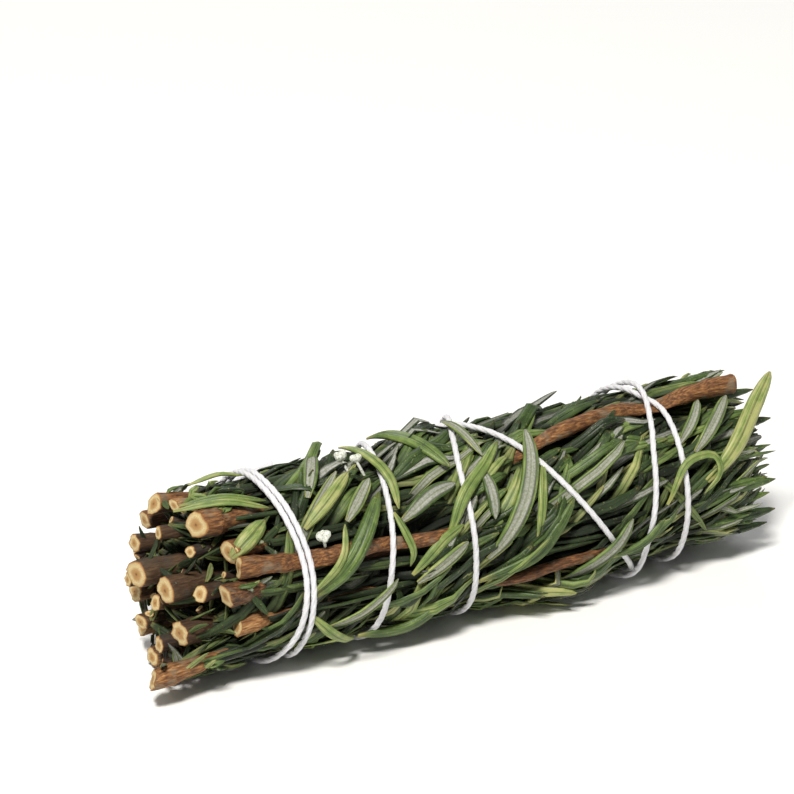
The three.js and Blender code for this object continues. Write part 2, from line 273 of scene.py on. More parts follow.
def leaf_material():
    """Needle leaf: glossy green with painted shade in the groove above; pale felt with a rib and green
    margins below, with painted shade in the folds beside them; and painted shade deep inside the bundle.
    """
    material, graph, shader = start_material("rosemary_leaf")
    place = graph.node("ShaderNodeTexCoord", output="Object")
    across, face, along, tint = map(graph.attribute, ("across", "face", "along", "tint"))
    mottle = graph.noise(place, scale=420, detail=3)
    speckle = graph.noise(place, scale=2600)
    lengthwise = graph.node("ShaderNodeCombineXYZ", None, {"X": across * 4, "Y": along * 2, "Z": tint * 30})
    streak = graph.noise(lengthwise, scale=1.6, detail=3, roughness=0.6)
    aside = graph.maths("ABSOLUTE", across)

    shade = tint + (mottle - 0.5) * 0.5 + (streak - 0.5) * 0.8
    green = graph.ramp(shade, [(0.0, 24, 34, 18), (0.3, 44, 61, 30), (0.6, 75, 97, 48),
                               (0.85, 122, 142, 76), (1.0, 166, 168, 108)])
    groove = 1 - graph.step(aside, *GROOVE_BAND)
    # Painted shade: the groove along the top of the leaf is darkened.
    green = graph.blend(groove * 0.55, green, colour(28, 44, 20))
    tip = graph.step(along, *TIP_BAND) * graph.step(speckle, 0.4, 0.7)
    green = graph.blend(tip * 0.7, green, colour(120, 96, 50))
    foot = 1 - graph.step(along, *FOOT_BAND)
    green = graph.blend(foot * 0.6, green, colour(168, 160, 92))
    green = graph.blend(graph.step(speckle, 0.62, 0.75) * 0.35, green, colour(190, 196, 120))

    felt = graph.ramp(speckle * 0.5 + streak * 0.5, [(0.36, 118, 122, 106), (0.6, 174, 175, 170)])
    felt = graph.blend(graph.step(tint, 0.2, 0.9) * 0.35, felt, colour(136, 142, 106))
    rib = 1 - graph.step(aside, *RIB_BAND)
    felt = graph.blend(rib * 0.45, felt, colour(104, 106, 72))
    # Dark olive from the middle of each side outward: partly the rolled margins' own green, partly painted
    # shade in the fold beside them.
    felt = graph.blend(graph.step(aside, *MARGIN_AND_FOLD_SHADE_BAND) * 0.75, felt, colour(46, 54, 32))

    under = graph.step(face, *UNDERSIDE_BAND)
    # Painted shade: leaf colours darken towards black deep inside the bundle, less so at the cut ends.
    dark = painted_inner_shade(graph, place, start=14.3, end=17.7, at_cut_ends=0.6)
    skin = graph.blend(dark * 0.9, graph.blend(under, green, felt), colour(10, 13, 6))
    height = speckle * 0.4 + mottle * 0.3 + streak * 0.6 - groove * 0.5
    roughness = 0.42 + under * 0.43 + dark * 0.4 + (mottle - 0.5) * 0.2
    finish_surface(graph, shader, skin, height, roughness, strength=0.5, depth=0.0002)
    shader.inputs["Specular IOR Level"].default_value = 0.36
    return material

def stem_material():
    """Reddish brown bark with ridges and grey patches, pale cut ends with a dark pith and rim, and painted
    shade on the bark deep inside the bundle.
    """
    material, graph, shader = start_material("rosemary_stem")
    place = graph.node("ShaderNodeTexCoord", output="Object")
    drawn = graph.node("ShaderNodeMapping", None, {"Vector": place, "Scale": (0.16, 1.0, 1.0)})
    ridges = graph.noise(drawn, scale=3000, detail=4, roughness=0.6)
    patches = graph.noise(place, scale=260, detail=3)
    grain = graph.noise(place, scale=5200)
    ring, cut, tint = map(graph.attribute, ("ring", "cut", "tint"))

    shade = (ridges - 0.5) * 1.3 + (tint - 0.5) * 0.4 + 0.5
    bark = graph.ramp(shade, [(0.15, 40, 24, 12), (0.42, 96, 60, 30), (0.6, 140, 94, 50),
                              (0.85, 182, 142, 92)])
    bark = graph.blend(graph.step(patches, 0.54, 0.68) * 0.6, bark, colour(124, 114, 94))
    # Painted shade: the bark darkens towards black deep inside the bundle.
    bark = graph.blend(painted_inner_shade(graph, place, start=12.4, end=16.2) * 0.8, bark, colour(16, 10, 6))

    growth = ring + (patches - 0.5) * 0.3
    wood = graph.ramp(growth, [(0.0, 96, 64, 34), (0.13, 160, 120, 70), (0.38, 174, 138, 86),
                               (0.62, 206, 190, 144), (0.84, 194, 170, 118),
                               (0.94, 150, 102, 54)])
    wood = graph.blend(graph.step(ring, 0.93, 1.0), wood, colour(88, 54, 28))
    wood = graph.blend(graph.step(grain, 0.45, 0.7) * 0.5, wood, colour(176, 128, 70))

    height = ridges * 0.8 + grain * 0.3
    surface = graph.blend(cut, bark, wood)
    finish_surface(graph, shader, surface, height, roughness=0.78, strength=0.6, depth=0.0003)
    return material

def string_material():
    """White cotton, matt, with faint grey painted shade in the hollows between its fibres."""
    material, graph, shader = start_material("cotton_string")
    place = graph.node("ShaderNodeTexCoord", output="Object")
    fibres = graph.noise(place, scale=7000, detail=3, roughness=0.7)
    soil = graph.noise(place, scale=120)
    # Darker where the fibre bump is low: painted shade in its hollows, mixed with faint soiling.
    white = graph.ramp(fibres * 0.7 + soil * 0.3, [(0.3, 196, 196, 200), (0.6, 232, 232, 236)])
    finish_surface(graph, shader, white, fibres, roughness=0.88, strength=0.5, depth=0.0001)
    shader.inputs["Sheen Weight"].default_value = 0.3
    return material

def bud_material():
    """White wool, with green showing through it."""
    material, graph, shader = start_material("woolly_bud")
    place = graph.node("ShaderNodeTexCoord", output="Object")
    tufts = graph.noise(place, scale=2400, detail=3, roughness=0.7)
    wool = graph.ramp(tufts, [(0.34, 150, 158, 128), (0.55, 226, 228, 220)])
    finish_surface(graph, shader, wool, tufts, roughness=0.95, strength=0.7, depth=0.0002)
    return material

# ---------- Places on the bundle, and the string's route ----------

STRING_DIAMETER = 1.2
STRING_RADIUS = 17.2
STRING_STEP = 0.6
FLOOR_CLEARANCE = 0.02
# The floor only holds the string in where it faces down by at least this cosine.
LEAST_DOWN = 0.5

# The string's route, turn by turn: degrees from the top, down the front; x; and its lift at a crossing.
WINDING = [
    # Once round the cut end, then a long climb up the back.
    [(-60, -36.4, 0.5), (-28, -36.4), (6, -36.5), (36, -35.6), (70, -34.7), (105, -35.1),
     (135, -35.8), (165, -34.6), (215, -25.4), (262, -17.2)],
    # Over the top and slantwise down the front to the leafy end.
    [(-60, -7.4), (-28, 4), (0, 8.2), (51, 17.3), (98, 27.1), (137, 35), (165, 37.6),
     (220, 39.2)],
    # Outer turn at the leafy end.
    [(-60, 40.6), (-28, 41), (3, 42.2), (24, 44.2), (63, 43.8), (109, 44), (150, 45),
     (220, 44.4)],
    # Inner turn at the leafy end, over the last turn and over the slant, then back along behind.
    [(-60, 43), (-28, 42.8, 0.2), (3, 42.5, 1.4), (31, 40.3), (56, 37.9), (105, 35.7, 0.2),
     (137, 35, 1.4), (170, 32.6, 0.2), (240, 20.5)],
    # Third turn, over the slant on top and over the climb behind.
    [(-54, 8.4, 0.1), (-22, 5.4, 1.4), (6, 1.8, 0.1), (40, -1.3), (88, -1.8), (131, -1),
     (180, -1.2), (246, -6), (275, -7.6, 0.2)],
    # Second turn, over the climb behind in two places.
    [(-64, -8.9, 1.4), (-42, -10.9, 0.1), (-13, -13.3), (29, -16.1), (66, -18.1), (90, -19.4),
     (122, -20.4), (148, -21.2), (186, -21.9, 0.1), (218, -24.8, 1.4), (245, -28, 0.1)],
    # Last turn beside the first, and into the knot.
    [(-62, -37.4), (-28, -37.8), (6, -37.8), (36, -36.9), (70, -36), (96, -36.5),
     (118, -37.8), (135, -39.4), (165, -40.6), (225, -40), (264, -38.8, 0.2), (298, -37.6, 0.5)],
]
KNOT_ANGLE = math.radians(300)
KNOT_X = -37.0
# Steps between two points of a smooth line.
CURVE_PARTS = 24

def on_bundle(x, radius, angle):
    """Points of the bundle, in millimetres, from arrays of places."""
    return np.stack([x, -radius * np.sin(angle), AXIS_HEIGHT + radius * np.cos(angle)], axis=-1)

def places_of(points):
    """Distance from the axis and angle of points of the bundle."""
    across, rise = -points[:, 1], points[:, 2] - AXIS_HEIGHT
    return np.hypot(across, rise), np.arctan2(across, rise)

def outward_at(points):
    """Unit directions away from the bundle's axis."""
    radius, angle = places_of(points)
    return np.stack([np.zeros_like(angle), -np.sin(angle), np.cos(angle)], axis=-1)

def unit(vectors):
    return vectors / np.maximum(np.linalg.norm(vectors, axis=-1, keepdims=True), 1e-9)

def facing_along(line, towards, roll=0.0):
    """For each point of a line, the way square to the line that is nearest to towards, and then rolled."""
    tangent = unit(np.gradient(line, axis=0))
    facing = unit(towards - tangent * np.sum(tangent * towards, axis=1, keepdims=True))
    roll = np.reshape(roll, (-1, 1))
    return facing * np.cos(roll) + np.cross(tangent, facing) * np.sin(roll)

def run_along(line):
    """The distance along a line to each of its points."""
    return np.concatenate([[0], np.cumsum(np.linalg.norm(np.diff(line, axis=0), axis=1))])

def smooth_line(points, spacing):
    """A Catmull-Rom line through the points, with evenly spaced steps."""
    points = np.asarray(points, float)
    padded = np.vstack([2 * points[0] - points[1], points, 2 * points[-1] - points[-2]])
    fine = []
    for a, b, c, d in zip(padded, padded[1:], padded[2:], padded[3:]):
        for part in np.arange(CURVE_PARTS) / CURVE_PARTS:
            fine.append(0.5 * (2 * b + (c - a) * part + (2 * a - 5 * b + 4 * c - d) * part ** 2
                               + (3 * b - a - 3 * c + d) * part ** 3))
    fine = np.vstack([fine, points[-1:]])
    run = run_along(fine)
    even = np.linspace(0, run[-1], max(3, int(run[-1] / spacing) + 1))
    return np.stack([np.interp(even, run, column) for column in fine.T], axis=-1)

def string_line():
    """The string's centre line on the unrolled bundle: angle, x and distance from the axis."""
    points = [(math.radians(angle + 360 * turn), x, sum(lift))
              for turn, places in enumerate(WINDING) for angle, x, *lift in places]
    around = np.array([BUNDLE_RADIUS, 1, 1])
    angle, x, lift = (smooth_line(np.array(points) * around, STRING_STEP) / around).T
    down = np.maximum(-np.cos(angle), LEAST_DOWN)
    lowest = (AXIS_HEIGHT - STRING_DIAMETER / 2 - FLOOR_CLEARANCE) / down
    return angle, x, np.minimum(STRING_RADIUS + np.maximum(lift, 0), lowest)

def placed_line(places, spacing):
    """Points of the bundle along a line through places given as x, degrees from the top, radius."""
    unrolled = [(x, math.radians(degrees) * BUNDLE_RADIUS, radius) for x, degrees, radius in places]
    x, span, radius = smooth_line(unrolled, spacing).T
    return on_bundle(x, radius, span / BUNDLE_RADIUS)

def kept_within(line, limit):
    """The line's points, none of them farther than limit from the bundle's axis."""
    radius, angle = places_of(line)
    return on_bundle(line[:, 0], np.minimum(radius, limit), angle)

# ---------- Pressing what lies under the string and on the floor ----------

# The unrolled bundle's grid: its cells' size, where it starts in x, and its columns along and rows around.
CELL = 0.5
GRID_LOW = -76.0
GRID_COLUMNS = 304
GRID_ROWS = int(round(SURFACE_SPAN / CELL))
COLUMN_CENTRES = GRID_LOW + CELL * (np.arange(GRID_COLUMNS) + 0.5)
ROW_CENTRES = CELL * (np.arange(GRID_ROWS) + 0.5)

# Nothing nearer the axis than PRESS_FROM is pressed. Leaves stay UNDER_STRING below the string's centre line,
# and bulge away from it by PINCH_RISE times the distance to the power of PINCH_POWER.
PRESS_FROM = 11.0
STIFFNESS = 6
UNDER_STRING = 0.66
PINCH_REACH = 12.0
PINCH_RISE = 0.2
PINCH_POWER = 1.6
UNPRESSED = 40.0
FLOOR_LEAST_DOWN = 0.3

def cells_of(x, angle):
    column = np.clip(((x - GRID_LOW) / CELL).astype(int), 0, GRID_COLUMNS - 1)
    row = np.floor(np.mod(angle, 2 * math.pi) * BUNDLE_RADIUS / CELL).astype(int) % GRID_ROWS
    return column, row

class Press:
    """How far from the axis the string and the floor let the leaves and twigs reach."""

    def __init__(self, angle, x, radius):
        around = np.mod(angle, 2 * math.pi) * BUNDLE_RADIUS
        self.limit = np.full((GRID_COLUMNS, GRID_ROWS), UNPRESSED)
        for number, column in enumerate(COLUMN_CENTRES):
            near = np.abs(x - column) < PINCH_REACH
            if not near.any():
                continue
            gap = np.abs(ROW_CENTRES[:, None] - around[near][None, :])
            gap = np.minimum(gap, SURFACE_SPAN - gap)
            distance = np.hypot(gap, column - x[near][None, :])
            rise = PINCH_RISE * distance ** PINCH_POWER
            self.limit[number] = (radius[near][None, :] - UNDER_STRING + rise).min(axis=1)

    def cap(self, x, angle):
        """The farthest that anything reaches at each place, blended between the cells round it."""
        across = (x - GRID_LOW) / CELL - 0.5
        around = np.mod(angle, 2 * math.pi) * BUNDLE_RADIUS / CELL - 0.5
        column = np.clip(np.floor(across).astype(int), 0, GRID_COLUMNS - 2)
        row = np.floor(around).astype(int)
        over, along = np.clip(across - column, 0, 1), around - row
        low, high = row % GRID_ROWS, (row + 1) % GRID_ROWS
        near = self.limit[column, low] * (1 - along) + self.limit[column, high] * along
        far = self.limit[column + 1, low] * (1 - along) + self.limit[column + 1, high] * along
        floor = AXIS_HEIGHT / np.maximum(-np.cos(angle), FLOOR_LEAST_DOWN)
        return np.minimum(near * (1 - over) + far * over, floor)

    def apply(self, points):
        """Presses the points in smoothly, so that what lies on top stays on top."""
        radius, angle = places_of(points)
        depth = np.maximum(radius - PRESS_FROM, 0)
        limit = self.cap(points[:, 0], angle) - PRESS_FROM
        pressed = depth / (1 + (depth / limit) ** STIFFNESS) ** (1 / STIFFNESS)
        return on_bundle(points[:, 0], np.minimum(radius, PRESS_FROM + pressed), angle)

# ---------- Sweeping a section along lines ----------

def sweep_tree():
    """Sweeps a section along each line of the mesh, turned to the line's facing and scaled by its size."""
    tree = bpy.data.node_groups.new("sweep_section", "GeometryNodeTree")
    for name, kind in (("Geometry", "Geometry"), ("Section", "Object"), ("Material", "Material")):
        tree.interface.new_socket(name, in_out="INPUT", socket_type=f"NodeSocket{kind}")
    tree.interface.new_socket("Geometry", in_out="OUTPUT", socket_type="NodeSocketGeometry")
    graph = Graph(tree)
    source = graph.node("NodeGroupInput")
    facing = graph.node("GeometryNodeInputNamedAttribute", {"data_type": "FLOAT_VECTOR"}, {"Name": "facing"})
    size = graph.node("GeometryNodeInputNamedAttribute", {"data_type": "FLOAT"}, {"Name": "size"})
    section = graph.node("GeometryNodeObjectInfo", None, {"Object": source.out("Section")}, "Geometry")
    outline = graph.node("GeometryNodeMeshToCurve", None, {"Mesh": section})
    lines = graph.node("GeometryNodeMeshToCurve", None, {"Mesh": source.out("Geometry")})
    turned = graph.node("GeometryNodeSetCurveNormal", {"mode": "FREE"}, {"Curve": lines, "Normal": facing})
    swept = graph.node("GeometryNodeCurveToMesh", None,
                       {"Curve": turned, "Profile Curve": outline, "Scale": size, "Fill Caps": True})
    smooth = graph.node("GeometryNodeSetShadeSmooth", None, {"Geometry": swept, "Shade Smooth": True})
    real = graph.node("GeometryNodeRealizeInstances", None, {"Geometry": smooth})
    coated = graph.node("GeometryNodeSetMaterial", None,
                        {"Geometry": real, "Material": source.out("Material")})
    result = tree.nodes.new("NodeGroupOutput")
    graph.feed(result.inputs["Geometry"], coated)
    return tree

def socket_identifier(tree, name):
    return next(item.identifier for item in tree.interface.items_tree if item.name == name)

def set_attribute(mesh, key, values):
    values = np.array(values, np.float32)
    kind, field = ("FLOAT_VECTOR", "vector") if values.ndim == 2 else ("FLOAT", "value")
    mesh.attributes.new(key, kind, "POINT").data.foreach_set(field, values.ravel())

def line_mesh(name, strands):
    """A mesh of open lines from strands, each with a line in millimetres and values for its points."""
    mesh = bpy.data.meshes.new(name)
    edges = []
    start = 0
    for strand in strands:
        count = len(strand["line"])
        edges.extend((start + step, start + step + 1) for step in range(count - 1))
        start += count
    mesh.from_pydata((np.concatenate([strand["line"] for strand in strands]) * MM).tolist(), edges, [])
    for key in strands[0]:
        if key != "line":
            set_attribute(mesh, key, np.concatenate([strand[key] for strand in strands]))
    return mesh

def section_object(name, points, attributes=None):
    """A closed outline in its own XY plane: X is the way that the line faces."""
    mesh = bpy.data.meshes.new(name)
    count = len(points)
    edges = [(step, (step + 1) % count) for step in range(count)]
    mesh.from_pydata([(*point, 0) for point in points], edges, [])
    for key, values in (attributes or {}).items():
        set_attribute(mesh, key, values)
    return add_object(name, mesh)

def sweep(name, strands, section, material):
    """One plain mesh object of a section swept along each of the strands."""
    worker = add_object(name, line_mesh(name, strands))
    modifier = worker.modifiers.new("sweep", "NODES")
    modifier.node_group = SWEEP
    modifier[socket_identifier(SWEEP, "Section")] = section
    modifier[socket_identifier(SWEEP, "Material")] = material
    evaluated = worker.evaluated_get(bpy.context.evaluated_depsgraph_get())
    result = bpy.data.meshes.new_from_object(evaluated)
    worker.modifiers.clear()
    worker.data = result
    result.name = name
    return worker

def round_section(name, sides, unevenness=0.0):
    turn = 2 * math.pi * np.arange(sides) / sides
    radius = 1 + unevenness * rng.normal(0, 1, sides)
    return section_object(name, list(zip(radius * np.cos(turn), radius * np.sin(turn))))

def reshape(piece, change):
    """Moves a piece's vertices by change, which takes and returns millimetres, but not below the floor."""
    mesh = piece.data
    points = np.empty(len(mesh.vertices) * 3)
    mesh.vertices.foreach_get("co", points)
    points = change(points.reshape(-1, 3) / MM) * MM
    points[:, 2] = np.maximum(points[:, 2], 0)
    mesh.vertices.foreach_set("co", points.ravel())
    mesh.update()

def declare(piece, slot, *nodes):
    """Says that a piece rides on the root, and hides the CAD nodes it stands for, where there are any. The
    slot is not used.
    """
    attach(piece, "root")
    if nodes:
        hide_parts(*nodes)

# ---------- Leaves ----------

# Across a leaf, in halves of its width: height, side. Its margins are rolled under and its top is grooved.
LEAF_SECTION = [(0.04, 0.0), (0.24, 0.5), (-0.10, 1.0), (-0.46, 0.80), (-0.24, 0.45), (-0.30, 0.0),
                (-0.24, -0.45), (-0.46, -0.80), (-0.10, -1.0), (0.24, -0.5)]
LEAF_FACES = [1.0, 1.0, 0.3, -0.4, -1.0, -1.0, -1.0, -0.4, 0.3, 1.0]
# Along a leaf, from its foot to its tip: stations, and its width at each. Inner leaves have fewer.
LEAF_STATIONS = np.array([0.0, 0.07, 0.2, 0.36, 0.54, 0.72, 0.87, 0.96, 1.0])
LEAF_WIDTHS = np.array([0.36, 0.52, 0.84, 1.0, 1.0, 0.92, 0.72, 0.44, 0.14])
INNER_STATIONS = np.array([0.0, 0.2, 0.45, 0.7, 0.9, 1.0])
INNER_WIDTHS = np.array([0.5, 0.88, 1.0, 0.9, 0.5, 0.1])
INNER_PARTS = INNER_STATIONS[:, None]
FINE_PARTS = np.linspace(0, 1, 40)
LEAF_THICKNESS = 0.36

# Surface leaves: how many, how long, the part of them that is short, underside up, lifted or astray, and the
# spread of their headings in radians.
SURFACE_LEAVES = 1150
LEAF_LENGTHS = (15, 27)
SHORT_LENGTHS = (7, 14)
SHORT_PART = 0.15
UNDERSIDE_PART = 0.28
LIFTED_PART = 0.3
TIP_LIFTS = (0.3, 2.2)
STRAY_PART = 0.12
STRAY_SPREAD = 0.75
USUAL_SPREAD = 0.26
# Each takes the lowest of a few ways to lie, none of them across a twig, and its foot is sunk among others.
WAYS_TRIED = 4
CROSSING_COST = 50
TOO_COSTLY = 30
FOOT_SINK = 1.6
FOOT_END = 0.3
BEND_MIDDLE = 0.3

# The bed starts as a core, straight as far as CORE_STRAIGHT from the middle, and narrower beyond.
CORE_HEIGHT = 12.9
CORE_TAPER = 3.0
CORE_STRAIGHT = 50
CORE_NARROWING = 14

# Inner leaves: pairs along a stem, tufts at its tip, and broken scraps. A limit is from the bundle's axis.
PAIR_LENGTHS = (12, 21)
PAIR_WIDTHS = (1.5, 2.5)
PAIR_SPACINGS = (2.6, 3.6)
PAIR_LIMIT = 15.8
LOWEST_LEAF = 0.5
TUFT_LEAVES = 22
TUFT_LENGTHS = (8, 16)
TUFT_WIDTHS = (1.2, 2.1)
TUFT_LIMIT = 16.4
SCRAPS = 20
SCRAP_LENGTHS = (4, 9)
SCRAP_WIDTHS = (0.8, 1.7)
SCRAP_LIMIT = 17.0

# Side shoots that show as bare twigs between the leaves: the number of the stem, the radius at the two ends,
# which ends are cut, and places as x, degrees from the top, distance from the axis.
TWIGS = [
    (19, (1.35, 1.75), {"cut_end": True},
     [(11, 29, 14.6), (15, 27, 17), (21.5, 22.5, 17.6), (31, 18.5, 17.8), (40, 16, 17.2), (53, 16.5, 17.8),
      (60.5, 18.5, 18.2)]),
    (22, (1.1, 1.0), {},
     [(2, 117, 15.6), (7, 112, 17), (14, 110, 17.2), (24, 111, 16.8), (29, 112, 15.4)]),
    (20, (2.0, 1.1), {"cut_start": True},
     [(-48, 59, 15.4), (-43, 61, 15.9), (-38, 63, 16.4), (-31, 64, 16.9), (-24, 65, 17), (-17, 67, 16.8),
      (-10, 68, 16.8), (-2, 70, 15.6)]),
]
TWIG_SHOWS_FROM = 16.5
TWIG_HALF_WIDTH = 1.0

# Leaves laid last, one by one, some over the string: half width, whether the underside shows, and places.
HAND_LAID_STEP = 1.2
HAND_LAID = [
    (1.75, True, [(1.1, 92, 16.6), (5.5, 74, 18.4), (9.4, 57, 18.9), (12.6, 38, 18.9), (14.8, 18, 18.8)]),
    (1.6, False, [(-10.5, -28, 18), (-8.3, -8, 18.8), (-5.7, 11, 18.9), (-3.2, 31, 18.6)]),
    (1.5, True, [(-15.3, 55, 17.2), (-9.1, 45, 18.4), (-2.9, 40, 17.2)]),
    (1.25, False, [(-7.1, 72, 17), (-2.6, 50, 18.2), (4.1, 33, 18.4), (8.6, 20, 18.2)]),
    (0.95, True, [(2.6, -12, 18.6), (3, 8, 18.9), (4.2, 28, 18.2)]),
    (1.3, True, [(3.2, 37, 17.6), (2.9, 52, 18.4), (2.6, 67, 17.8)]),
    (1.15, False, [(-15, 89, 17.4), (-9, 73, 18.2), (-3.6, 66, 17.2)]),
    (1.3, True, [(-14, 95, 17.4), (-7, 82, 18.2), (-3.2, 77, 17.2)]),
    (1.25, False, [(-0.8, 107, 17.2), (9.5, 96, 18.6), (15, 80, 18.8), (19.1, 66, 18.4)]),
    (1.5, True, [(17.6, 127, 17.4), (26.9, 104, 18.4), (31.6, 88, 17.4)]),
    (1, False, [(11.2, 87, 17.2), (13, 60, 18.2), (15.6, 40, 17.2)]),
    (1, True, [(-31.2, 112, 17.6), (-25.9, 104, 18.6), (-20.5, 92, 19), (-18.6, 87, 18.6)]),
    (1.65, False, [(-35.2, 90, 16.2), (-29.4, 76, 18.4), (-24.9, 62, 18.8), (-18.4, 36, 18.4)]),
    (0.8, False, [(-35, 86, 17), (-29.3, 68, 19.2), (-27, 50, 18.6)]),
    (1.3, True, [(-26, 48, 17.6), (-18.9, 26, 18.4)]),
    (1.3, False, [(-33.9, 46, 16.8), (-26.6, 30, 18.8), (-21.9, 18, 18.4)]),
    (1.8, False, [(-23.8, 134, 17.6), (-15, 131, 18.8), (-8.6, 117, 18.2)]),
    (1.7, False, [(-48.6, 52, 15.6), (-44.4, 43, 17), (-40.4, 34, 16.6)]),
    (0.9, False, [(-49, -14, 17.4), (-43, -14, 18.2), (-38.4, -12, 17)]),
    (0.8, False, [(-55.2, 10, 16.4), (-46, 18, 18), (-38.6, 26, 16.6)]),
    (0.8, False, [(-53.5, 6, 16.4), (-46, 13, 18), (-38.4, 20, 16.6)]),
    (1.7, False, [(48.5, 76, 16.8), (54.5, 60, 18.4), (61.5, 38, 19), (68.5, 19, 19.6)]),
    (0.8, False, [(39, 84, 17.6), (43.5, 62, 18.6), (49.5, 60, 19), (50.5, 72, 18.6), (47, 82, 18)]),
    (1.3, True, [(47, 56, 17), (52, 42, 18.6), (57.5, 26, 18.4)]),
    (1.1, True, [(44.6, 48, 16.6), (48.5, 36, 18.4), (51.6, 24, 18.2)]),
    (1.2, False, [(28.2, 116, 17.2), (33.8, 104, 18.9), (38, 92, 18.4)]),
    (1.15, False, [(-18.2, -16, 17.8), (-16.3, 12, 18.9), (-15.3, 30, 18.9), (-15.6, 48, 17.8)]),
    (1.4, True, [(-31.2, 27, 17.2), (-28.3, 11, 18.6), (-24.8, -9, 17.8)]),
    (1.1, False, [(-35.2, 101, 16.8), (-31.7, 113, 18.6), (-27.7, 125, 18.7), (-24.4, 136, 17.6)]),
    (0.85, False, [(-16.6, 49, 17.4), (-15.9, 62, 18.6), (-14.9, 74, 18.5), (-15.4, 83, 17.4)]),
]

def finer(values):
    """Values at a leaf's stations, spread over close steps along it."""
    return np.interp(FINE_PARTS, LEAF_STATIONS, values)

class LeafBed:
    """How high the leaves are piled over each place of the unrolled bundle."""

    def __init__(self):
        narrowed = np.clip((np.abs(COLUMN_CENTRES) - CORE_STRAIGHT) / CORE_NARROWING, 0, 1)
        core = CORE_HEIGHT - CORE_TAPER * narrowed ** 2
        self.height = np.repeat(core[:, None], GRID_ROWS, axis=1)
        self.reserved = np.zeros(self.height.shape, bool)

    def cells(self, path, part, width):
        """The cells under a line along a leaf, a part of its width to the side of its midrib."""
        x, span, side_x, side_span = path
        return cells_of(x + side_x * width * part, (span + side_span * width * part) / BUNDLE_RADIUS)

    def found(self, path, width):
        """The heights of what lies under a leaf with that midrib, at close steps."""
        path, width = [finer(values) for values in path], finer(width)
        return np.max([self.height[self.cells(path, part, width)] for part in (-0.35, 0.0, 0.35)], axis=0)

    def crosses_reserved(self, path, width):
        return any(self.reserved[self.cells(path, part, width)].any() for part in (-0.5, 0.0, 0.5))

    def pile(self, path, width, height):
        path, width = [finer(values) for values in path], finer(width)
        for part in np.linspace(-0.45, 0.45, 6):
            np.maximum.at(self.height, self.cells(path, part, width), finer(height))

    def reserve(self, places):
        """Keeps the leaves off a twig, so that it shows."""
        x, degrees, radius = smooth_line(places, 0.4).T
        for shift in np.linspace(-TWIG_HALF_WIDTH, TWIG_HALF_WIDTH, 6):
            cells = cells_of(x, np.radians(degrees) + shift / BUNDLE_RADIUS)
            self.reserved[cells] = radius > TWIG_SHOWS_FROM

def leaf_path(x, span, heading, length, bend):
    """A leaf's midrib on the unrolled bundle. A heading is from +X, and a positive one climbs the front."""
    heading = heading + bend * (LEAF_STATIONS - BEND_MIDDLE)
    middle = (heading[1:] + heading[:-1]) / 2
    steps = length * np.diff(LEAF_STATIONS)
    along_x = x + np.concatenate([[0], np.cumsum(steps * np.cos(middle))])
    along_span = span - np.concatenate([[0], np.cumsum(steps * np.sin(middle))])
    return along_x, along_span, np.sin(heading), np.cos(heading)

def eased(height, times):
    """The heights smoothed along the leaf, with its two ends held."""
    for _ in range(times):
        height[1:-1] = (height[:-2] + 2 * height[1:-1] + height[2:]) / 4
    return height

def settle(found):
    """The heights, at the leaf's stations, of a stiff leaf that rests on what it crosses."""
    height = found.copy()
    for sink in (0.1, 0.2, 0.3, 0.5):
        height = np.maximum(eased(height, 6), found - sink)
    return np.interp(LEAF_STATIONS, FINE_PARTS, eased(height, 4))

def rising(value, start, run):
    """0 up to start, and then rising evenly to 1 over the run."""
    return min(1, max(0, (value - start) / run))

def closeness(x, middle, reach):
    """1 at the middle, and falling away on both sides of it."""
    return math.exp(-((x - middle) / reach) ** 2)

def usual_heading(x, angle):
    """How steeply the leaves lie: nearly along the bundle on top, and climbing its front and its back.

    They climb most beside the string's turns at the cut ends and before those at the tips, and lie flatter
    beyond them. All but the result is in degrees.
    """
    turned = abs((angle + math.pi) % (2 * math.pi) - math.pi)
    steep = rising(turned, 0.3, 0.9)
    cut_half = 5 + 14 * steep * closeness(x, -27, 9) if x < 0 else 0
    tip_half = 14 * closeness(x, 32, 13) - 18 * rising(x, 45, 6)
    return math.radians(8 + 28 * steep + cut_half + steep * tip_half)

def leaf_strand(line, stations, towards, roll, half_widths, tint):
    """A strand for a leaf, whose upper face looks towards a direction and is then rolled from it."""
    return {
        "line": line,
        "facing": facing_along(line, towards, roll),
        "size": half_widths * MM,
        "along": stations,
        "tint": np.full(len(line), tint),
    }

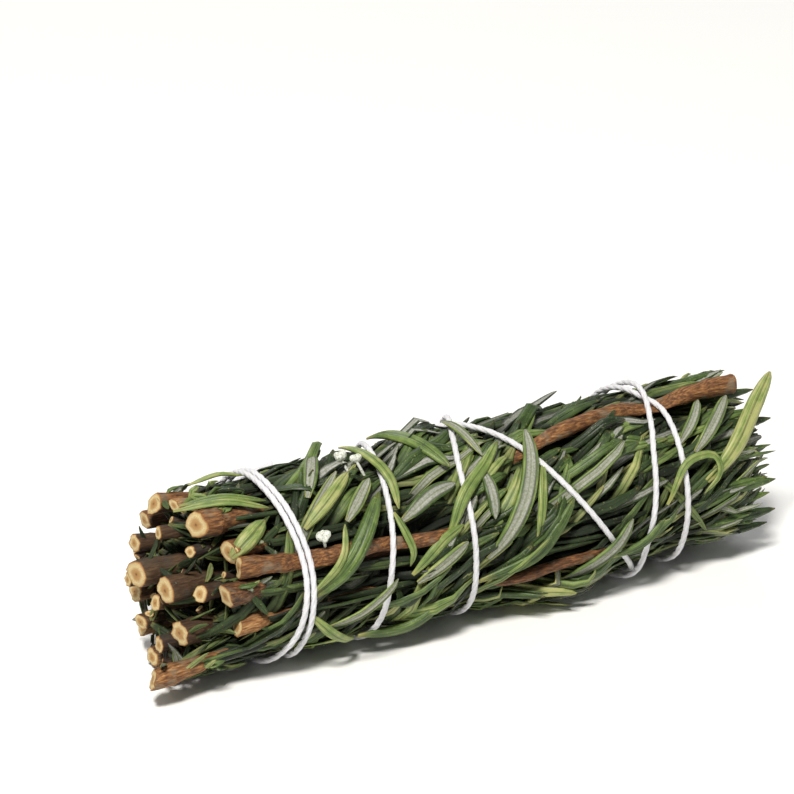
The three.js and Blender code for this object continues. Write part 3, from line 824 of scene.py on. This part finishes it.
def surface_leaf(bed, x, angle, leaf_end):
    """Lays one leaf on the bed, the way of a few that lies lowest, or none if all of them cross a twig."""
    lengths = LEAF_LENGTHS if rng.random() > SHORT_PART else SHORT_LENGTHS
    length = min(rng.uniform(*lengths), (leaf_end - x) / 0.9)
    widest = 2.9 - 0.8 * rising(x, 8, 16)
    half_width = 0.5 * rng.uniform(1.5, widest) * min(1, 0.5 + length / 28)
    width = 2 * half_width * LEAF_WIDTHS
    bend = rng.normal(0, 0.3)
    spread = STRAY_SPREAD if rng.random() < STRAY_PART else USUAL_SPREAD
    best = None
    for _ in range(WAYS_TRIED):
        heading = usual_heading(x, angle) + rng.normal(0, spread)
        path = leaf_path(x, angle * BUNDLE_RADIUS + rng.uniform(-1.5, 1.5), heading, length, bend)
        found = bed.found(path, width)
        cost = found[10:].mean() + 0.3 * rng.random() + CROSSING_COST * bed.crosses_reserved(path, width)
        if best is None or cost < best[0]:
            best = (cost, path, found)
    cost, path, found = best
    if cost > TOO_COSTLY:
        return None
    height = settle(found) + LEAF_THICKNESS * half_width + 0.1
    height -= FOOT_SINK * np.clip(1 - LEAF_STATIONS / FOOT_END, 0, 1)
    if rng.random() < LIFTED_PART:
        height += rng.uniform(*TIP_LIFTS) * LEAF_STATIONS ** 3
    bed.pile(path, width, height + LEAF_THICKNESS * half_width)
    line = on_bundle(path[0], height, path[1] / BUNDLE_RADIUS)
    towards = outward_at(line) * (-1 if rng.random() < UNDERSIDE_PART else 1)
    return leaf_strand(line, LEAF_STATIONS, towards, rng.normal(0, 0.28), half_width * LEAF_WIDTHS,
                       rng.uniform(0, 1))

def lay_surface_leaves(bed, sprigs):
    """Leaves all over the outside, from the tips back, so that each covers the foot of the next."""
    feet = rng.uniform(-58, 58, SURFACE_LEAVES)
    for number in np.argsort(-(feet + rng.uniform(-5, 5, SURFACE_LEAVES))):
        x = feet[number]
        angle = rng.uniform(0, 2 * math.pi)
        sprig = nearest_sprig(sprigs, x, angle)
        if x < sprig["leaf_start"] + rng.uniform(-1, 3):
            continue
        leaf = surface_leaf(bed, x, angle, rng.uniform(60.5, 66))
        if leaf is not None:
            sprig["leaves"].append(leaf)

def add_inner_leaf(sprig, line, towards, roll, width, tint):
    half_widths = 0.5 * width * INNER_WIDTHS
    sprig["leaves"].append(leaf_strand(line, INNER_STATIONS, towards, roll, half_widths, tint))

def grow_pairs(sprig):
    """Pairs of leaves along a stem inside the bundle, each pair at right angles to the last."""
    x = sprig["cut_end"] + rng.uniform(3, 5)
    quarter_turns = 0
    while x < sprig["leaf_end"] - 8:
        foot = stem_point(sprig, min(x, sprig["stem_end"]))
        foot[0] = x
        for side in (0, math.pi):
            around = quarter_turns * math.pi / 2 + side + rng.normal(0, 0.35)
            away = np.array([0, math.cos(around), math.sin(around)])
            length = min(rng.uniform(*PAIR_LENGTHS), (HALF_LENGTH + 1 - x) / 0.95)
            reach = rng.uniform(1.6, 3.4)
            line = foot + away * (0.8 + reach * (1 - (1 - INNER_PARTS) ** 2)) + ALONG * length * INNER_PARTS
            line[:, 2] = np.maximum(line[:, 2], LOWEST_LEAF)
            line = kept_within(line, PAIR_LIMIT)
            # Inner leaves take darker tints: partly dust, partly painted shade.
            add_inner_leaf(sprig, line, away, rng.normal(0, 0.4), rng.uniform(*PAIR_WIDTHS),
                           rng.uniform(0, 0.7))
        quarter_turns += 1
        x += rng.uniform(*PAIR_SPACINGS)

def grow_tuft(sprig):
    """Young narrow leaves crowded at a sprig's tip."""
    foot = stem_point(sprig, sprig["stem_end"])
    for _ in range(TUFT_LEAVES):
        around = rng.uniform(0, 2 * math.pi)
        away = np.array([0, math.cos(around), math.sin(around)])
        length = rng.uniform(*TUFT_LENGTHS)
        foot[0] = sprig["leaf_end"] + rng.uniform(-4, 0.5) - length
        line = foot + away * (0.6 + rng.uniform(0.4, 5.2) * INNER_PARTS ** 1.4) + ALONG * length * INNER_PARTS
        line = kept_within(line, TUFT_LIMIT)
        add_inner_leaf(sprig, line, -away, rng.normal(0, 0.5), rng.uniform(*TUFT_WIDTHS),
                       rng.uniform(0.2, 1.0))

def drop_scraps(sprig):
    """Short broken leaves caught between the bare stems."""
    for _ in range(SCRAPS):
        foot = stem_point(sprig, rng.uniform(sprig["cut_end"] + 1, sprig["leaf_start"] + 4))
        direction = unit(np.array([rng.normal(0.7, 0.5), rng.normal(0, 0.6), rng.normal(0, 0.6)]))
        away = unit(np.array([0, rng.normal(), rng.normal()]))
        bend = unit(rng.normal(size=3)) * rng.uniform(0, 2)
        length = rng.uniform(*SCRAP_LENGTHS)
        line = foot + away * 1.6 + direction * length * INNER_PARTS + bend * INNER_PARTS ** 2
        line = kept_within(line, SCRAP_LIMIT)
        line[:, 0] += max(0, sprig["cut_end"] + 0.6 - line[:, 0].min())
        add_inner_leaf(sprig, line, away, 0, rng.uniform(*SCRAP_WIDTHS), rng.uniform(0.2, 1.0))

def lay_by_hand(half_width, under, places):
    """One of the leaves whose places are chosen."""
    line = placed_line(places, HAND_LAID_STEP)
    stations = np.linspace(0, 1, len(line))
    half_widths = half_width * np.interp(stations, LEAF_STATIONS, LEAF_WIDTHS)
    towards = outward_at(line) * (-1 if under else 1)
    return leaf_strand(line, stations, towards, rng.normal(0, 0.12), half_widths, rng.uniform(0.55, 0.95))

# ---------- Stems ----------

STEM_SIDES = 14
STEM_UNEVENNESS = 0.05
STEM_COUNT = 24
# Steps along a stem's bare part and its leafy part.
FINE_STEP = 0.7
COARSE_STEP = 3.0
# The cut face in rings: part of the stem's radius, and how far the ring stands in from the end.
CUT_RINGS = np.array([(0.02, 0.0), (0.25, 0.02), (0.6, 0.04), (0.88, 0.06), (0.97, 0.12)])
# How far the bark's edge stands in from the cut, how the cut slopes across and up, and how far that reaches.
CUT_EDGE = 0.24
CUT_SLOPE = (-0.12, 0.1)
CUT_DEPTH = 5
SCAR_SPACING = 5.2
# A stem whose cut end is farther than this from the axis is an outer one.
OUTER_FROM = 12

def read_sprig(number):
    """A sprig's centre line and thickness, from the CAD stem, and where its leaves start and end."""
    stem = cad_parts[f"stem_{number:02d}"]
    points = np.array([vertex.co for vertex in stem.data.vertices]) / MM
    stations = []
    for x in np.unique(points[:, 0].round(2)):
        ring = points[np.abs(points[:, 0] - x) < 0.02]
        centre = ring.mean(axis=0)
        stations.append((*centre, np.linalg.norm(ring - centre, axis=1).max()))
    x, y, z, radius = np.array(stations).T
    low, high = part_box(f"leaves_{number:02d}")
    distance, angle = places_of(np.array([[x[0], y[0], z[0]]]))
    return {
        "number": number, "x": x, "y": y, "z": z, "radius": radius, "cut_end": x[0], "stem_end": x[-1],
        "leaf_start": low[0] / MM, "leaf_end": high[0] / MM, "outer": distance[0] > OUTER_FROM,
        "leaves": [], "twigs": [],
    }

def stem_point(sprig, x):
    """The point of a stem's centre line at x, or the points where x is an array."""
    return np.stack([x, np.interp(x, sprig["x"], sprig["y"]), np.interp(x, sprig["x"], sprig["z"])], axis=-1)

def nearest_sprig(sprigs, x, angle):
    """The outer sprig that a place on the surface belongs to."""
    place = on_bundle(np.array([x]), np.array([14.0]), np.array([angle]))[0]
    outer = [sprig for sprig in sprigs if sprig["outer"]]
    return min(outer, key=lambda sprig: np.linalg.norm(stem_point(sprig, x) - place))

def add_cut_face(strand):
    """Puts a cut face's rings at the start of a strand's line."""
    line, thickness = strand["line"], strand["size"]
    inward = unit(line[1] - line[0])
    face = line[0] + inward * CUT_RINGS[:, 1:]
    return {
        "line": np.vstack([face, line[0] + inward * CUT_EDGE, line[1:]]),
        "size": np.concatenate([CUT_RINGS[:, 0] * thickness[0], thickness]),
        "ring": np.concatenate([CUT_RINGS[:, 0], strand["ring"]]),
        "cut": np.concatenate([np.ones(len(CUT_RINGS)), strand["cut"]]),
    }

def turned_round(strand):
    return {key: values[::-1] for key, values in strand.items()}

def stem_strand(line, radius, cut_start=False, cut_end=False):
    """A strand for a stem or twig, with swellings at its leaf scars and rings across its cut faces."""
    run = run_along(line)
    scars = np.exp(-((np.mod(run, SCAR_SPACING) - 3.6) / 0.6) ** 2)
    thickness = radius * (1 + 0.09 * scars + 0.04 * np.sin(run * 0.9 + rng.uniform(0, 6)))
    strand = {"line": line, "size": thickness, "ring": np.ones(len(line)), "cut": np.zeros(len(line))}
    if cut_start:
        strand = add_cut_face(strand)
    if cut_end:
        strand = turned_round(add_cut_face(turned_round(strand)))
    towards = unit(rng.normal(size=3) * [0.05, 1, 1])
    strand["facing"] = facing_along(strand["line"], towards)
    strand["size"] = strand["size"] * MM
    strand["tint"] = np.full(len(strand["line"]), rng.uniform(0, 1))
    return strand

def main_stem(sprig):
    bare = np.arange(sprig["cut_end"], sprig["leaf_start"] + 10, FINE_STEP)
    leafy = np.arange(bare[-1] + FINE_STEP, sprig["stem_end"], COARSE_STEP)
    x = np.concatenate([bare, leafy])
    line = stem_point(sprig, x)
    wander = rng.normal(0, 1, 2)
    line[:, 1] += 0.25 * wander[0] * np.sin(x / 5 + wander[1])
    line[:, 2] += 0.25 * wander[1] * np.sin(x / 4 + wander[0])
    thin = np.interp(x, sprig["x"], sprig["radius"])
    thick = sprig["radius"][0] * np.exp(-((x - x[0]) / 15) ** 2)
    return stem_strand(line, np.maximum(thin, thick), cut_start=True)

def side_stub(sprig):
    """The stub of a side shoot cut off short."""
    foot = stem_point(sprig, sprig["cut_end"] + rng.uniform(3, 9))
    around = rng.uniform(0, 2 * math.pi)
    away = np.array([-rng.uniform(0.5, 2.0), math.cos(around), math.sin(around)])
    line = foot + unit(away) * np.linspace(0, rng.uniform(2.8, 5.2), 6)[:, None]
    line[:, 0] += max(0, sprig["cut_end"] + 0.4 - line[-1, 0])
    thickness = rng.uniform(0.55, 1.05)
    return stem_strand(line, np.linspace(thickness, 0.8 * thickness, 6), cut_end=True)

def twig(places, thickness, cuts):
    """A twig that lies at the bundle's surface."""
    line = placed_line(places, FINE_STEP)
    return stem_strand(line, np.linspace(*thickness, len(line)), **cuts)

def roughen(points, sprig, slope, phase):
    """Makes a stem less round, and its cut slanting and ragged."""
    x = points[:, 0].copy()
    centre = stem_point(sprig, x)[:, 1:]
    beside = points[:, 1:] - centre
    distance = np.linalg.norm(beside, axis=1)
    turn = np.arctan2(beside[:, 0], beside[:, 1])
    uneven = 0.055 * np.sin(2 * turn + phase[0]) + 0.04 * np.sin(3 * turn + phase[1] + 0.3 * x)
    points[:, 1:] = centre + beside * (1 + uneven)[:, None]
    at_cut = np.clip(1 - (x - sprig["cut_end"]) / CUT_DEPTH, 0, 1) * (distance < 4)
    ragged = 0.08 * np.sin(5 * turn + phase[2]) + 0.05 * np.sin(9 * turn + phase[3])
    points[:, 0] += at_cut * (beside @ slope + ragged * np.minimum(distance, 2))
    return points

def make_stem(sprig, outline):
    strands = [main_stem(sprig)] + sprig["twigs"]
    strands += [side_stub(sprig) for _ in range(rng.integers(0, 3))]
    piece = sweep(f"rosemary_stem_{sprig['number']:02d}", strands, outline, BARK)
    slope = rng.normal(CUT_SLOPE, 0.2)
    phase = rng.uniform(0, 2 * math.pi, 4)
    reshape(piece, lambda points: PRESS.apply(roughen(points, sprig, slope, phase)))
    declare(piece, "rosemary_stem", f"stem_{sprig['number']:02d}")

# ---------- String, knot and buds ----------

PLIES = 3
PLY_SIDES = 8
PLY_RADIUS = 0.41
PLY_OFFSET = 0.17
PLY_PITCH = 7.0
TAIL_LENGTH = 10

# Woolly buds: x, degrees from the top, distance from the axis, and how many lobes.
BUDS = [(-32.0, 54, 19.0, 4), (-21.5, 5, 18.6, 3), (-19.0, 9, 18.4, 2)]
BUD_LOBE = 0.85
BUD_SIDES = 12
BUD_UNEVENNESS = 0.05
STALK_RADIUS = 0.28

def plies(line, towards):
    """Plies twisted together along a line."""
    run = run_along(line)
    strands = []
    for number in range(PLIES):
        turn = 2 * math.pi * (run / PLY_PITCH + number / PLIES)
        beside = facing_along(line, towards, turn)
        strands.append({
            "line": line + beside * PLY_OFFSET,
            "facing": beside,
            "size": np.full(len(line), PLY_RADIUS * MM),
        })
    return strands

def knot_line():
    """A small overhand knot on the bundle's upper back."""
    turn = np.linspace(0, 2 * math.pi, 60)
    x = KNOT_X + 0.66 * (np.sin(turn) + 2 * np.sin(2 * turn))
    around = 0.5 * (np.cos(turn) - 2 * np.cos(2 * turn))
    lift = STRING_RADIUS + 0.75 - 0.55 * np.sin(3 * turn)
    return on_bundle(x, lift, KNOT_ANGLE + around / BUNDLE_RADIUS)

def tail_line(side):
    """A cut end of the string, from the knot towards +X or away from it."""
    part = np.linspace(0, 1, 16)
    radius = STRING_RADIUS + 0.7 + 0.9 * part + 0.4 * np.sin(math.pi * part)
    angle = KNOT_ANGLE + np.radians(side * 8 * part ** 2)
    return on_bundle(KNOT_X + side * TAIL_LENGTH * part, radius, angle)

def make_string(route, outline):
    angle, x, radius = route
    strands = []
    for line in (on_bundle(x, radius, angle), knot_line(), tail_line(-1), tail_line(1)):
        strands += plies(line, outward_at(line))
    piece = sweep("cotton_string", strands, outline, COTTON)
    reshape(piece, lambda points: points)
    declare(piece, "cotton_string", "string")

def bud_strand(line, towards, size):
    return {"line": line, "facing": facing_along(line, towards), "size": size * MM}

def bud_strands(x, degrees, radius, lobes):
    """A stalk, and round it at its top end the lobes of a bud."""
    angle = math.radians(degrees)
    part = np.linspace(0, 1, 9)
    stalk = on_bundle(x + 1.4 * part, radius - 3.4 * part, angle + 0.16 * part)
    strands = [bud_strand(stalk, ALONG + 0.1, np.full(len(part), STALK_RADIUS))]
    round_bundle = np.array([0, -math.cos(angle), -math.sin(angle)])
    profile = np.sqrt(1 - np.linspace(-0.995, 0.995, 11) ** 2)
    for number in range(lobes):
        turn = 2 * math.pi * number / lobes + rng.normal(0, 0.2)
        beside = np.array([math.cos(turn), 0, 0]) + math.sin(turn) * round_bundle
        way = unit(beside + 0.5 * outward_at(stalk[:1])[0])
        size = BUD_LOBE * rng.uniform(0.8, 1.1)
        line = stalk[0] + way * size * (0.5 + 1.3 * np.linspace(-1, 1, 11)[:, None])
        strands.append(bud_strand(line, rng.normal(size=3), size * profile))
    return strands

# ---------- Building ----------

make_camera()
for light in LIGHTS:
    make_area_light(*light)
make_sky()
make_floor()

SWEEP = sweep_tree()
LEAF = leaf_material()
BARK = stem_material()
COTTON = string_material()
WOOL = bud_material()

route = string_line()
PRESS = Press(*route)
ply_outline = round_section("ply_section", PLY_SIDES)
make_string(route, ply_outline)

sprigs = [read_sprig(number) for number in range(1, STEM_COUNT + 1)]
stem_outline = round_section("stem_section", STEM_SIDES, STEM_UNEVENNESS)
for number, thickness, cuts, places in TWIGS:
    sprigs[number - 1]["twigs"].append(twig(places, thickness, cuts))
for sprig in sprigs:
    make_stem(sprig, stem_outline)

bed = LeafBed()
for *_, places in TWIGS:
    bed.reserve(places)
for sprig in sprigs:
    grow_pairs(sprig)
    grow_tuft(sprig)
    drop_scraps(sprig)
lay_surface_leaves(bed, sprigs)

sides = [side for _, side in LEAF_SECTION]
leaf_outline = section_object("leaf_section", LEAF_SECTION, {"across": sides, "face": LEAF_FACES})
for sprig in sprigs:
    piece = sweep(f"rosemary_leaves_{sprig['number']:02d}", sprig["leaves"], leaf_outline, LEAF)
    reshape(piece, PRESS.apply)
    declare(piece, "rosemary_leaf", f"leaves_{sprig['number']:02d}")
hand_laid = sweep("hand_laid_leaves", [lay_by_hand(*leaf) for leaf in HAND_LAID], leaf_outline, LEAF)
declare(hand_laid, "rosemary_leaf")

bud_outline = round_section("bud_section", BUD_SIDES, BUD_UNEVENNESS)
buds = sweep("woolly_buds", [strand for bud in BUDS for strand in bud_strands(*bud)], bud_outline, WOOL)
declare(buds, "rosemary_leaf")

for outline in (leaf_outline, stem_outline, ply_outline, bud_outline):
    bpy.data.objects.remove(outline)
